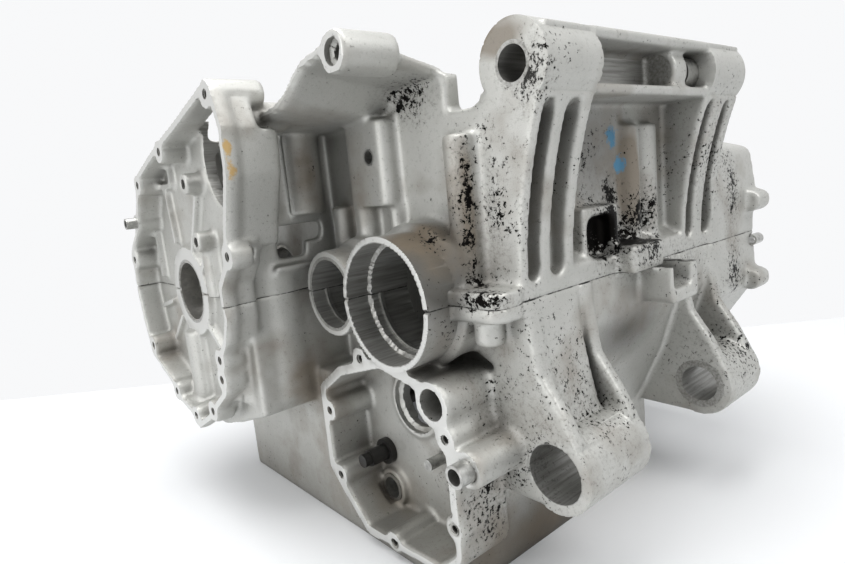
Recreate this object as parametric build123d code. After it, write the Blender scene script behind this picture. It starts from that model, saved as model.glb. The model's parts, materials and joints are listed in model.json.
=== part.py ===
from build123d import *
import math
import os

# A horizontally split crankcase of a four-cylinder motorcycle engine: two
# castings, with the pins, shells and bolts that stay in them on the bench.
# All sizes are millimetres. The engine frame has the crank axis along X at
# y = 0, z = 0, +Y to the front of the engine and z = 0 on the split. The
# finished pieces move to the frame of the part, whose origin is the middle
# of the box that holds the case, at the level of its sump face.

# Gear train and heights
crank_to_input_y = 111.5        # crank axis to the gearbox input shaft
shaft_centres = 54.5            # input shaft to output shaft
sump_depth = 149.0              # split down to the sump face
wall = 6.0                      # common thickness of a cast wall
split_flange = 10.0             # height of the flange either side of the split

# Width of the case along the crank
cylinder_pitch = 72.0
end_main_inset = 3.0            # the end mains sit this much inside two pitches
end_wall_out = 5.0              # end walls of the bays past the end mains
left_chamber_depth = 16.0       # left cover face to the chamber's floor
left_floor_t = 8.0
left_rim_t = 7.0
bulge_depth = 15.0              # the chamber's rear bulge, behind its floor
hood_inset = 11.0               # edge of the hood behind the chamber's floor
near_x = -82.0                  # left wall of the gearbox and near mounts
gearbox_right_x = 109.0
right_chamber_depth = 19.0      # right cover face to the end of the bays

# Crankshaft
journal_r = 19.0                # bore of the main bearing shells
shell_t = 2.0
shell_width = 17.0
web_t = 18.0                    # bearing webs between the crank bays
crank_boss_r = 30.0
mouth_r = 33.0                  # cylinder mouths in the deck
skirt_gap = 0.6                 # room round a skirt under the deck
skirt_depth = 26.0              # how far a skirt reaches below the deck
deck_height = 56.0              # crank axis to the deck, square to the deck
deck_tilt = 45.0                # degrees that the cylinders lean forward
deck_half = 49.0                # half the depth of the deck
deck_t = 6.4                    # thickness of the deck

# Outline of the middle of the case, front and rear
rear_y = -226.0                 # rear edge of the split
rear_wall_y = -214.0
roof_rear_y = -187.0
bay_rear_y = -78.0              # rear wall of the first crank bay
front_y = 78.0
raised_roof_end_x = -72.0       # the roof drops to its low part here
roof_z = 106.0
roof_low_z = 88.0
sump_front_y = 40.0
sump_rear_y = -196.0
sump_left_x = -108.0
sump_right_x = 96.0
sump_neck_z = -96.0             # where the sump box starts
sump_join = 9.0                 # it reaches this much above its neck
sump_room_join = 18.0           # and its hollow this much
sump_flange = 12.0
sump_flange_t = 9.0
sump_front_r = 8.0              # corner radii of the sump box
sump_rear_r = 38.0

# Gearbox bores in the left wall
collar_x = -116.4               # face of the big collar
output_bore_r = 28.5
collar_mouth_step = 2.0         # the collar's mouth is wider than its bore
collar_wall = 3.0
output_step_x = -102.0
input_boss_x = -112.0
input_boss_r = 24.5
input_bore_r = 19.4
ring_groove_r = 1.4             # depth of the locating ring grooves
ring_groove_w = 2.2
right_web_x = 58.0              # right bearing web of the gearbox
right_web_t = 14.0

# Starter gear hole, hood over the gearbox's left side
starter_y = -75.0
starter_z = 79.6
starter_r = 29.0
hood_z = 91.0

# Shift chamber in the lower case
shift_rim_x = -112.0
shift_floor_x = -84.0

# Rear mounts
upper_mount_y = -228.0
upper_mount_z = 101.7
upper_mount_r = 18.5
upper_bore_r = 7.6
lower_mount_y = -236.8
lower_mount_z = -79.3
lower_mount_r = 19.5
near_bore_r = 14.3
far_bore_r = 10.6
near_upper_l = 39.0
near_lower_l = 51.0
far_upper_x = 66.0
far_upper_l = 40.0
far_lower_x = 60.0
far_lower_l = 42.0
arm_t = 8.0                     # side plates of the lower arms
arm_foot_z = -98.0

# Curved cooling ribs under the upper mounts
rib_top_z = 88.0
rib_root_z = 6.0
rib_top_y = -242.0
rib_slot_w = 8.5
wide_slot_w = 11.0              # the slot beside the near tower's last rib
shelf_t = 5.0
plate_z = 111.5
plate_t = 5.5

# Fasteners and fits
m6_r = 3.0
m8_r = 4.0
m8_head_r = 8.2
pin_fit = 0.02                  # a pressed pin is this much under its hole
bolt_fit = 0.3                  # a bolt is this much under its hole
main_r = 4.5
main_head_r = 7.0
main_head_h = 8.0
main_depth = 56.0               # seat of the main bolts under the split
main_thread = 34.0              # how far they reach into the upper case
washer_t = 2.0
washer_r = 8.2
split_dowel_l = 16.0
split_dowel_wall = 1.6
split_dowel_gap = 0.5           # between a split dowel and its bolt's hole
bore_land = 0.4                 # left between a split dowel and the bearing
cover_dowel_r = 3.8
cover_dowel_wall = 1.2
cover_dowel_depth = 7.0
cover_dowel_out = 7.0           # length that stands out of the cover face
screw_r = 2.6
sleeve_r = 5.6
sleeve_bore_r = 4.0
sleeve_x = -120.0               # open end of the sleeve
sleeve_seat_x = -96.0
spring_pin_x = -104.5           # free end of the spring pin
spring_pin_r = 4.0
spring_flange_r = 8.0
locating_pin_x = -96.0         # free end of the locating pin
locating_pin_r = 3.2
adjuster_r = 9.0
adjuster_bore_r = 5.3
adjuster_out = 12.0             # length that stands out of the far mount
insert_r = 4.4
insert_bore_r = 3.3
insert_l = 12.0
bush_r = 8.5
bush_bore_r = 6.6
plug_r = 7.0                    # oil gallery plug
plug_l = 8.0
deck_dowel_r = 6.2
deck_dowel_l = 14.0
deck_dowel_depth = 8.0

input_y = -crank_to_input_y
output_y = input_y - shaft_centres
bearing_bore_r = journal_r + shell_t
collar_mouth_r = output_bore_r + collar_mouth_step
collar_r = collar_mouth_r + collar_wall
split_dowel_r = main_r + split_dowel_gap + split_dowel_wall
main_bolt_y = bearing_bore_r + bore_land + split_dowel_r
end_main_x = 2 * cylinder_pitch - end_main_inset
case_end_x = end_main_x + end_wall_out
left_floor_x = -case_end_x
left_rim_x = left_floor_x - left_chamber_depth
right_rim_x = case_end_x + right_chamber_depth
bulge_end_x = left_floor_x + bulge_depth
hood_x = left_floor_x + hood_inset
mains_x = [-end_main_x, -cylinder_pitch, 0, cylinder_pitch, end_main_x]
cylinders_x = [cylinder_pitch * i for i in (-1.5, -0.5, 0.5, 1.5)]
tilt = math.radians(deck_tilt)
deck_y = deck_height * math.sin(tilt)
deck_z = deck_height * math.cos(tilt)


def box(x0, x1, y0, y1, z0, z1):
    """A block between two corners."""
    size = Box(x1 - x0, y1 - y0, z1 - z0)
    return Pos((x0 + x1) / 2, (y0 + y1) / 2, (z0 + z1) / 2) * size


def slab(sketch, x0, x1):
    """A sketch drawn in y and z, as thick as x0 to x1."""
    return extrude(Plane.YZ.offset(x0) * sketch, x1 - x0)


def rod(x0, x1, y, z, r):
    """A cylinder that lies along X."""
    return slab(Pos(y, z) * Circle(r), x0, x1)


def tube(x0, x1, y, z, r, bore):
    """A hollow cylinder that lies along X."""
    return rod(x0, x1, y, z, r) - rod(x0 - 1, x1 + 1, y, z, bore)


def post(x, y, r, z0, z1):
    """A cylinder that stands along Z."""
    return Pos(x, y, (z0 + z1) / 2) * Cylinder(r, z1 - z0)


def outline(points, radius=0.0):
    """A closed shape through points, its corners rounded by one radius."""
    shape = make_face(Polyline(*points, close=True))
    return fillet(shape.vertices(), radius) if radius else shape


def grown(sketch, amount):
    """A sketch whose edge is moved out, or in by a negative amount."""
    return offset(sketch, amount=amount, kind=Kind.INTERSECTION)


def on_deck(sketch, x):
    """Places a sketch on the deck, over the cylinder at x."""
    deck = Plane(origin=(x, deck_y, deck_z), x_dir=(1, 0, 0),
                 z_dir=(0, math.sin(tilt), math.cos(tilt)))
    return deck * sketch


# Outlines in y and z

deck_dy = deck_half * math.cos(tilt)
deck_dz = deck_half * math.sin(tilt)
deck_rear = (deck_y - deck_dy, deck_z + deck_dz)
deck_front = (deck_y + deck_dy, deck_z - deck_dz)

left_rim = outline([
    (-109, 112), (-95, 114), (-57, 104), (-20, 95), (8, 87), (39, 77),
    (42, 65), (56, 43), (70, 34), (80, 26), (80, 12), (82, -4), (78, -27),
    (71, -52), (34, -67), (24, -77), (0, -82), (-10, -90), (-38, -76),
    (-50, -66), (-68, -54), (-71, -30), (-79, -22), (-86, -8), (-85, 10),
    (-97, 22), (-104, 44), (-114, 69), (-116, 92)], 4)

bay_side = outline([
    (bay_rear_y, hood_z + 4), (-40, hood_z), deck_rear, deck_front,
    (front_y, -14), (71, -46), (36, -65), (6, -80), (-10, -92), (-38, -84),
    (bay_rear_y, -70)], 3)

middle_side = outline([
    (rear_y, 0), (rear_y, split_flange), (rear_wall_y, split_flange + 6),
    (rear_wall_y, roof_low_z), (bay_rear_y - 4, roof_low_z),
    (bay_rear_y, hood_z + 2), (-40, hood_z), deck_rear, deck_front,
    (front_y, -14), (71, -46), (sump_front_y, -64),
    (sump_front_y, -sump_depth), (sump_rear_y, -sump_depth),
    (sump_rear_y, sump_neck_z), (rear_wall_y, -58), (rear_y + 1, -25)])

raised_roof = outline([
    (roof_rear_y, roof_low_z - 4), (roof_rear_y, roof_z), (-98, roof_z),
    (bay_rear_y, hood_z + 4), (bay_rear_y, roof_low_z - 4)])

right_rim = outline([
    (-228, 6), (-230, 30), (-226, 58), (-205, 64), (-150, 84), (-100, 88),
    (-40, 74), (20, 60), (62, 26), (74, -14), (60, -58), (6, -82),
    (-90, -92), (-170, -88), (-208, -66), (-230, -34)], 9)

shift_outer = outline([
    (-150, -30), (-110, -42), (-86, -58), (-86, -112), (-100, -125),
    (-121, -143.5), (-186, -140), (-203, -126), (-203, -60), (-194, -38)], 8)

left_holes = [(-102, 109), (-20, 89), (-98.8, 28.5), (-65, -33),
              (-63.5, -45), (-39.8, -70), (-7, -81), (34, 72), (74, 20),
              (65, -44), (26, -71)]
right_holes = [(-232, 22), (-232, -32), (-190, -80), (-120, -91),
               (-40, -88), (34, -72), (70, -34), (66, 22), (10, 64),
               (-64, 80), (-130, 87), (-196, 67)]
shift_holes = [(-94.3, -73), (-98, -113.5), (-133.4, -34), (-197.6, -62.5),
               (-198, -108.6), (-146.4, -138)]
left_dowels = [(52, 47)]
right_dowels = [(-229, -6), (70, -8)]

# Split bolts and dowels: x and y
front_lug_y = 84.0
front_lug_r = 8.5
front_lug_t = 11.0
flange_bolts_m8 = [(x, front_lug_y) for x in cylinders_x[1:3]]
flange_bolts_m6 = [(x, front_lug_y) for x in (cylinders_x[0],
                                              cylinders_x[3])]
pad_screw_at = (-90, -211)
end_bolt_inset = 5.0            # the end bolts stand inside their bearing
end_bolt_x = end_main_x - end_bolt_inset
main_bolts_x = [-end_bolt_x, -cylinder_pitch, 0, cylinder_pitch, end_bolt_x]
split_dowels_at = [(x, -main_bolt_y) for x in (-cylinder_pitch,
                                               cylinder_pitch)]

# Outside of both halves as one body

case = slab(bay_side, left_floor_x, case_end_x)
case += slab(middle_side, near_x, gearbox_right_x)
case += slab(raised_roof, near_x, raised_roof_end_x)
case += slab(right_rim, gearbox_right_x - 10, right_rim_x)
case += slab(left_rim, left_rim_x, left_rim_x + left_rim_t)
chamber = grown(left_rim, -1.5)
bulge = chamber & Pos(-150, (hood_z + 31) / 2) * Rectangle(146, hood_z - 31)
case += slab(chamber, left_rim_x + 1, left_floor_x + left_floor_t / 2)
case += slab(bulge, left_floor_x, bulge_end_x)
case += [rod(left_rim_x, left_rim_x + 12, y, z, 7.4) for y, z in left_holes]
case += rod(left_rim_x, hood_x + 2, *left_holes[0], 7.4)
case += [rod(right_rim_x - 18, right_rim_x, y, z, 7.2)
         for y, z in right_holes]
front_lugs = flange_bolts_m8 + flange_bolts_m6
case += [post(x, y, front_lug_r, -front_lug_t, front_lug_t)
         for x, y in front_lugs]
case += [box(x - front_lug_r, x + front_lug_r, front_y - 14, y,
             -front_lug_t, front_lug_t) for x, y in front_lugs]


# Sump box, rounded at its four upright corners
def sump_plan(inset):
    """Plan of the sump box, moved in from its outside by an inset."""
    plan = Rectangle(sump_right_x - sump_left_x - 2 * inset,
                     sump_front_y - sump_rear_y - 2 * inset)
    corners = plan.vertices().sort_by(Axis.Y)
    plan = fillet(corners[:2], max(sump_rear_r - inset, 3))
    corners = plan.vertices().sort_by(Axis.Y)
    return Pos((sump_left_x + sump_right_x) / 2, (
        sump_front_y + sump_rear_y) / 2) * fillet(
        corners[-2:], max(sump_front_r - inset, 3))


case -= box(-300, 300, -400, 200, -sump_depth, sump_neck_z)
case += Pos(0, 0, -sump_depth) * extrude(
    sump_plan(0), sump_depth + sump_neck_z + sump_join)
case += box(sump_left_x, near_x + 1, -120, sump_front_y, -96, -50)

# Collar, input boss and the steps round them on the left wall
case += rod(collar_x, near_x + 2, output_y, 0, collar_r)
case += rod(collar_x + 20, near_x + 2, output_y, 0, collar_r + 4)
case += rod(input_boss_x, near_x + 2, input_y, 0, input_boss_r)
case += rod(input_boss_x + 16, near_x + 1, input_y - 6, 0, input_boss_r + 5)

# Columns and blocks on the left wall, over the split
tower_y = -197.0
case += post(near_x - 4, tower_y, 7.5, 0, 77)
block = fillet(Rectangle(14, 37).vertices(), 6)
case += Pos(near_x - 3, -129.5, 46) * extrude(block, 45)
case += post(near_x - 3, -94, 7, 22, 47)
case += post(near_x - 2, -118, 8, 18, 47)
case += post(near_x - 1, -144, 5, 14, 47)

# Rear wall of the first crank bay: brown column, ledge and soft bulge
case += post(-100, bay_rear_y + 4, 12.5, 44, hood_z + 1)
case += post(-122, bay_rear_y + 28, 30, -64, 13)
case += box(-128, -104, bay_rear_y - 5, bay_rear_y + 2, 12.5, 16.5)

# Flange pads at the rear-left corner of the split
pad = fillet(Rectangle(22, 40).vertices(), 8)
case += Pos(near_x - 9, -208, -7) * extrude(pad, 14)
case += post(*pad_screw_at, 7, -20, 6)
case += box(near_x, near_x + 20, rear_y, -205, -20, 90)

# Hood over the left side: a thin machined edge, its slope and two bosses
hood_edge = [(-76, 92), (-94, 93.8), (-126, 97.4), (-133, 101.4),
             (-149.5, 111.2), (-184, 117), (-184, 121.5), (-151, 117),
             (-143, 112.8), (-131, 105), (-121, 101.8), (-97, 98),
             (-76, 97)]
hood_root = [(-76, 90), (-94, 90), (-126, 90), (-136, 90), (-152, 103),
             (-184, 104), (-184, 109), (-151, 109), (-143, 108), (-131, 106),
             (-121, 105), (-97, 104), (-76, 103)]
hood = loft([Plane.YZ.offset(hood_x) * outline(hood_edge),
             Plane.YZ.offset(near_x + 2) * outline(hood_root)], ruled=True)
case += hood
case += rod(hood_x - 5, hood_x + 16, -96.2, 98, 8.2)
case += rod(hood_x - 1, -106, -177.5, 114, 9.5)

# Upper rear mounts on their ribbed towers, shelf and top plate
rib_curve = ThreePointArc((rear_y, rib_root_z), (-230.5, 48),
                          (rib_top_y, rib_top_z))
rib_side = make_face(rib_curve + Polyline(
    (rib_top_y, rib_top_z), (-205, rib_top_z), (-205, rib_root_z),
    (rear_y, rib_root_z)))
tower_back_y = -212.0
near_end = near_x + near_upper_l
far_end = far_upper_x + far_upper_l
for x0, x1 in ((near_x, near_end), (far_upper_x, far_end)):
    case += slab(rib_side, x0, x1)
    case += rod(x0, x1, upper_mount_y, upper_mount_z, upper_mount_r)
    case += box(x0, x1, -226, tower_back_y, 80, plate_z + 1)
case += box(near_x, far_end, rib_top_y + 0.5, -208, rib_top_z, rib_top_z
            + shelf_t)
case += box(near_x + 4, far_end, -243, tower_back_y, plate_z, plate_z
            + plate_t)
case += box(near_end - 2, far_upper_x + 2, -222, -212, rib_top_z, plate_z + 1)
case += rod(34, 48, upper_mount_y, upper_mount_z, 12)

# Middle of the rear wall: columns, oil pocket rim and the square lugs
case += post(26, rear_wall_y + 1, 8, 12, 77)
case += post(45, rear_wall_y + 1, 8, 12, 77)
case += box(-30, 2, -223, rear_wall_y + 1, 5, 36)
case += box(-6.5, 25, -236.5, rear_wall_y, -1, 14)
bracket_y = -246.5
case += box(14, 42, bracket_y, rear_wall_y, -20, 0)

# Lower rear arms: side plates, a web and the mount barrel each
barrel_foot_z = lower_mount_z - lower_mount_r + 0.5
arm_side = outline([
    (rear_y, 2), (rear_y - 3, -14), (rear_y - 6, -34), (rear_y - 11.6, -42),
    (rear_y - 18.6, -52), (lower_mount_y - lower_mount_r * 0.8,
    lower_mount_z + 12), (lower_mount_y, barrel_foot_z), (-150, arm_foot_z),
    (-150, 2)])
arm_web = outline([
    (rear_y, 0), (rear_y - 3, -22), (rear_y - 7, -42), (rear_y - 11, -58),
    (rear_y - 10, lower_mount_z), (-190, arm_foot_z), (-190, 0)])
near_low_end = near_x + near_lower_l
far_low_end = far_lower_x + far_lower_l
pocket_x = near_low_end - arm_t - 3.5
case += slab(arm_side, near_x, near_x + arm_t)
case += slab(arm_web, near_x, pocket_x)
case += slab(arm_side, near_low_end - arm_t, near_low_end)
case += slab(arm_side, far_lower_x, far_lower_x + arm_t)
case += slab(arm_side, far_low_end - arm_t, far_low_end)
case += box(near_x, near_low_end, -216, -190, arm_foot_z, -4)
case += box(far_lower_x, far_low_end, -216, -190, arm_foot_z, -4)
case += rod(near_x, near_low_end, lower_mount_y, lower_mount_z,
            lower_mount_r)
case += rod(far_lower_x, far_low_end, lower_mount_y, lower_mount_z,
            lower_mount_r)

# Rib arc on the rear wall between the arms
arc_rib = (Circle(68) - Circle(64)) & Pos(50, -50) * Rectangle(90, 90)
case += Pos(-20, 0, 10) * extrude(Plane.XZ.offset(-rear_wall_y - 2)
                                  * arc_rib, 5)

# Hollows

deck_drop = deck_t / math.cos(tilt)
case_room = slab(outline([
    (bay_rear_y + wall, hood_z - 5), (-42, hood_z - wall),
    (deck_rear[0], deck_rear[1] - deck_drop), (deck_front[0] - deck_drop,
    deck_front[1]), (front_y - wall, -14), (66, -42), (32, -56), (4, -68),
    (-12, -70), (-36, -69), (bay_rear_y + wall, -62)], 4),
    left_floor_x + left_floor_t, case_end_x - left_floor_t)
gear_room = slab(outline([
    (rear_wall_y + wall, split_flange), (rear_wall_y + wall, roof_low_z
    - wall), (bay_rear_y + 4, roof_low_z - wall), (bay_rear_y + 4, -90),
    (sump_rear_y + wall + 2, sump_neck_z - 4), (rear_wall_y + wall + 2,
    -56), (rear_wall_y + wall, -8)], 5),
    near_x + wall, gearbox_right_x - wall)
case -= case_room
case -= gear_room
case -= Pos(0, 0, -sump_depth + sump_flange_t) * extrude(
    sump_plan(wall), sump_depth + sump_neck_z + sump_room_join
    - sump_flange_t)
case -= Pos(0, 0, -sump_depth - 1) * extrude(sump_plan(sump_flange),
                                             sump_flange_t + 2)
case += box(near_x + wall - 1, near_x + 17, -207, -158, -58, -22)
case -= [box(x - 22, x + 22, -60, 18, -90, -50) for x in cylinders_x[1:3]]

# The deck is planed flat where the cylinder block stands
deck_end_x = case_end_x - left_floor_t / 2
case -= extrude(on_deck(Rectangle(2 * deck_end_x, 2 * deck_half), 0), 30)

# Right chamber, open to the right, behind the bays and the gearbox
right_inner = grown(right_rim, -7)
right_lugs = [rod(gearbox_right_x, right_rim_x, y, z, 7.2)
              for y, z in right_holes + right_dowels]
behind_bays = Pos(-200, 0) * Rectangle(240, 300)
case -= slab(right_inner, case_end_x, right_rim_x + 1) - right_lugs
case -= slab(right_inner & behind_bays, gearbox_right_x + 4,
             case_end_x + 1) - right_lugs

# Left chamber, with its rim, ribs and bosses
left_inner = grown(left_rim, -5)
case -= slab(left_inner, left_rim_x - 1, left_floor_x)
rib_lines = [(54, 6, 54, 69), (15, 31, 20, 70), (8, 69, 56, 71),
             (7, 70, 7, 84), (40, -10, 66, -16), (26, -20, 50, -40),
             (-22, -22, -44, -38), (-26, 16, -44, 34), (-14, 28, -38, 68)]
for y0, z0, y1, z1 in rib_lines:
    length = math.hypot(y1 - y0, z1 - z0)
    angle = math.degrees(math.atan2(z1 - z0, y1 - y0))
    rib = Pos((y0 + y1) / 2, (z0 + z1) / 2) * Rot(
        0, 0, angle) * Rectangle(length, 4)
    case += slab(rib & left_inner, left_floor_x - 5, left_floor_x + 1)
case += rod(-end_main_x - web_t / 2, left_floor_x + 1, 0, 0, crank_boss_r)
case += post(left_floor_x + 3, 9, 12, -74, -28)
case += post(left_floor_x + 2, -40, 9, 0, 34)
stud_bosses = [(-43.8, 34.4), (-38.1, 68.5)]
case += [rod(left_floor_x - 12, left_floor_x + 1, y, z, 6.4)
         for y, z in stud_bosses]
case += [rod(left_rim_x, left_floor_x + 1, y, z, 7.4) & slab(
    left_rim, left_rim_x, left_floor_x + 1) for y, z in left_holes]
case += rod(left_rim_x, left_floor_x + 1, *left_dowels[0], 6.6)

# Bearing webs across the crank bays, columns for the end bolts
web_side = outline([
    (bay_rear_y, hood_z - 2), (-42, hood_z - 2), (deck_rear[0] - 2,
    deck_rear[1] - 3), (deck_front[0] - 3, deck_front[1] - 2),
    (front_y - 3, -14), (66, -44), (34, -60), (4, -76), (-12, -88),
    (-36, -80), (bay_rear_y, -66)])
port = Pos(-48, 56) * Circle(15) + Pos(-54, -40) * Circle(11)
for x in mains_x[1:4]:
    case += slab(web_side - port, x - web_t / 2, x + web_t / 2)
for side in (-1, 1):
    x0, x1 = sorted((side * (end_main_x - web_t / 2),
                     side * (end_main_x + web_t / 2)))
    case += rod(x0, x1, 0, 0, crank_boss_r)
    case += [post(side * end_bolt_x, y, main_head_r + 1.6, -62, top)
             for y, top in ((-main_bolt_y, 46), (main_bolt_y, 40))]

# Right bearing web of the gearbox
gear_web = outline([
    (rear_wall_y + 2, -40), (rear_wall_y + 2, roof_low_z - 2),
    (bay_rear_y + 2, roof_low_z - 2), (bay_rear_y + 2, -60), (-150, -60)])
case += slab(gear_web, right_web_x, right_web_x + right_web_t)

# Shift chamber: closed box, its hollow and the bosses on its floor
shift_inner = grown(shift_outer, -6.5)
case += slab(shift_outer, shift_rim_x, shift_floor_x + wall)
case += [rod(shift_rim_x, shift_rim_x + 16, y, z, 7) for y, z in shift_holes]
case -= slab(shift_inner, shift_rim_x - 1, shift_floor_x)
case += [rod(shift_rim_x, shift_floor_x + 1, y, z, 7) & slab(
    shift_outer, shift_rim_x, shift_floor_x + 1) for y, z in shift_holes]
sleeve_y = -210.8
sleeve_z = -73.6
big_hole = (-190, -47)
bush_at = (-116, -126)
spring_pin_at = (-112, -103.5)
locating_pin_at = (-163, -93)
case += rod(shift_rim_x, near_x + 1, sleeve_y, sleeve_z, 9.5)
case += rod(shift_rim_x, near_x + 1, *big_hole, 12)
case += rod(shift_floor_x - 4, shift_floor_x + 1, *bush_at, 12)
case += rod(shift_floor_x - 0.5, shift_floor_x + wall, *spring_pin_at, 9)
case += rod(shift_floor_x - 1, shift_floor_x + wall, *locating_pin_at, 7)
case += rod(shift_floor_x - 3, shift_floor_x + 1, -144, -66, 20)

# Machined holes

# crank line and gearbox shafts
case -= rod(-end_main_x - web_t, end_main_x + web_t, 0, 0, journal_r + 0.8)
for x in mains_x:
    case -= rod(x - shell_width / 2, x + shell_width / 2, 0, 0,
                bearing_bore_r)
case -= rod(collar_x - 1, output_step_x, output_y, 0, collar_mouth_r)
case -= rod(output_step_x - 1, near_x + wall + 1, output_y, 0,
            output_bore_r)
case -= rod(input_boss_x - 1, near_x + wall + 1, input_y, 0,
            input_bore_r)
output_groove_x = output_step_x + 5
input_groove_x = input_boss_x + 9
case -= rod(output_groove_x, output_groove_x + ring_groove_w, output_y, 0,
            output_bore_r + ring_groove_r)
case -= rod(input_groove_x, input_groove_x + ring_groove_w, input_y, 0,
            input_bore_r + ring_groove_r)
right_output_r = 24.0
right_input_r = 26.0
case -= rod(right_web_x - 1, gearbox_right_x + 9, output_y, 0,
            right_output_r)
case -= rod(right_web_x - 1, gearbox_right_x + 9, input_y, 0, right_input_r)

# starter gear hole, window, cylinder mouths
case -= rod(left_floor_x - 1, hood_x + 1, starter_y, starter_z, starter_r)
window = outline([(-122.5, 20), (-122.5, 39), (-91.5, 39), (-93.5, 29),
                  (-104, 29), (-105, 20)], 1.5)
case -= Pos(0, bay_rear_y + 14, 0) * extrude(Plane.XZ * window, 34)
for x in cylinders_x:
    skirt = Pos(0, 0, -deck_t) * Circle(mouth_r + skirt_gap)
    case -= extrude(on_deck(Circle(mouth_r), x), -deck_t)
    case -= extrude(on_deck(skirt, x), deck_t - skirt_depth)

# mount bores
case -= rod(near_x - 1, near_end + 1, upper_mount_y, upper_mount_z,
            upper_bore_r)
case -= rod(far_upper_x - 1, far_end + 1, upper_mount_y, upper_mount_z,
            adjuster_r)
case -= rod(far_upper_x - adjuster_out - 2, far_upper_x, upper_mount_y,
            upper_mount_z, adjuster_r + 0.6)
case -= rod(near_x - 1, near_low_end + 1, lower_mount_y, lower_mount_z,
            near_bore_r)
case -= rod(far_lower_x - 1, far_low_end + 1, lower_mount_y, lower_mount_z,
            far_bore_r)

# slots between the curved ribs: left end and width
slot_z0 = rib_root_z + 2
slot_z1 = rib_top_z - 2
for x0, width in ((near_x + 5, rib_slot_w), (near_x + 21, wide_slot_w),
                  (far_upper_x + 4.5, rib_slot_w),
                  (far_upper_x + 24.5, rib_slot_w)):
    slot = Pos(x0 + width / 2, (slot_z0 + slot_z1) / 2) * Rot(
        0, 0, 90) * SlotOverall(slot_z1 - slot_z0, width)
    case -= Pos(0, rear_wall_y - 3, 0) * extrude(Plane.XZ * slot, 40)

# square hole of the lower lug, oil pocket, blind pockets by the collar
case -= box(16, 35, bracket_y - 1, rear_wall_y - 2, -12, 0.5)
pocket = fillet(Rectangle(22, 22).vertices(), 6)
case -= Pos(-15, -215, 20) * extrude(Plane.XZ * pocket, 12)
pocket_depth = 10.0
for points in ([(-171, -34.5), (-181, -28), (-192, -28.5), (-209, -37)],
               [(-163, -45), (-176, -41.5), (-185, -43.5), (-191, -53)]):
    case -= slab(outline(points, 1.2), near_x - 9, near_x + pocket_depth)

# screw holes in the cover faces
for face_x, depth, holes in ((left_rim_x, 15, left_holes),
                             (shift_rim_x, 15, shift_holes)):
    case -= [rod(face_x - 1, face_x + depth, y, z, screw_r)
             for y, z in holes]
case -= [rod(right_rim_x - 15, right_rim_x + 1, y, z, screw_r)
         for y, z in right_holes]
case -= [rod(left_floor_x - 13, left_floor_x + 2, y, z, m6_r)
         for y, z in stud_bosses]
case -= rod(shift_rim_x - 1, near_x + wall + 1, *big_hole, 8)
case -= rod(shift_floor_x - 4, shift_floor_x + 1.5, -144, -66, 17)
case -= rod(shift_floor_x - 4, near_x + wall + 1, -144, -66, 14.5)
case -= rod(hood_x - 6, hood_x + 10, -96.2, 98, 3.9)
case -= rod(hood_x - 2, hood_x + 3, -177.5, 114, 5.7)
case -= rod(hood_x - 2, -112, -177.5, 114, 3.6)

# seats of the pins, dowels, plugs and bush
case -= rod(left_rim_x - 1, left_rim_x + cover_dowel_depth, *left_dowels[0],
            cover_dowel_r)
case -= [rod(right_rim_x - cover_dowel_depth, right_rim_x + 1, y, z,
             cover_dowel_r) for y, z in right_dowels]
case -= rod(shift_rim_x - 1, sleeve_seat_x, sleeve_y, sleeve_z, sleeve_r)
case -= rod(shift_floor_x - 8, shift_floor_x + wall + 1, *bush_at, bush_r)
pin_seat_x = shift_floor_x + wall - 1
case -= rod(shift_floor_x - 4, pin_seat_x, *spring_pin_at, spring_pin_r)
case -= rod(shift_floor_x - 5, pin_seat_x, *locating_pin_at, locating_pin_r)
insert_at = (-134.5, 72)
insert_x = near_x - 10
case -= rod(insert_x - 1, insert_x + insert_l, *insert_at, insert_r)
gallery_at = (24, -43)
case += rod(case_end_x - 14, case_end_x + 4, *gallery_at, plug_r + 4)
case -= rod(case_end_x + 4 - plug_l, case_end_x + 5, *gallery_at, plug_r)

# bolt holes from below, with seats for heads and washers
seat_z = -main_depth
skirt_room_z = (deck_height - skirt_depth) / math.cos(tilt)
threads_to = {-main_bolt_y: main_thread,
              main_bolt_y: skirt_room_z - main_bolt_y - main_r}
for x in main_bolts_x:
    for y in (-main_bolt_y, main_bolt_y):
        case -= post(x, y, main_r, seat_z - 1, threads_to[y])
        case -= post(x, y, washer_r + 0.6, -100, seat_z)
for x, y in split_dowels_at:
    case -= post(x, y, split_dowel_r, -split_dowel_l / 2, split_dowel_l / 2)
lug_seat_z = -front_lug_t
for x, y in flange_bolts_m6:
    case -= post(x, y, m6_r, lug_seat_z - 1, front_lug_t + 1)
for x, y in front_lugs:
    case -= post(x, y, m8_head_r, lug_seat_z - 12, lug_seat_z)
for x, y in flange_bolts_m8:
    case -= post(x, y, m8_r, lug_seat_z - 1, front_lug_t + 1)
case -= post(*pad_screw_at, screw_r, -21, 3)

# stud holes in the deck, two of them with dowels
stud_across = 2 * mouth_r + 10
deck_stud_r = 4.2
deck_dowels_at = []
for x in mains_x:
    for side in (-1, 1):
        place = Pos(0, side * stud_across / 2)
        stud_x = math.copysign(min(abs(x), end_bolt_x - 1), x)
        case -= extrude(on_deck(place * Circle(deck_stud_r), stud_x), -20)
        if abs(x) == cylinder_pitch and side == 1:
            deck_dowels_at.append((place, stud_x))
            case -= extrude(on_deck(place * Circle(deck_dowel_r), stud_x),
                            -deck_dowel_depth)

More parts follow.
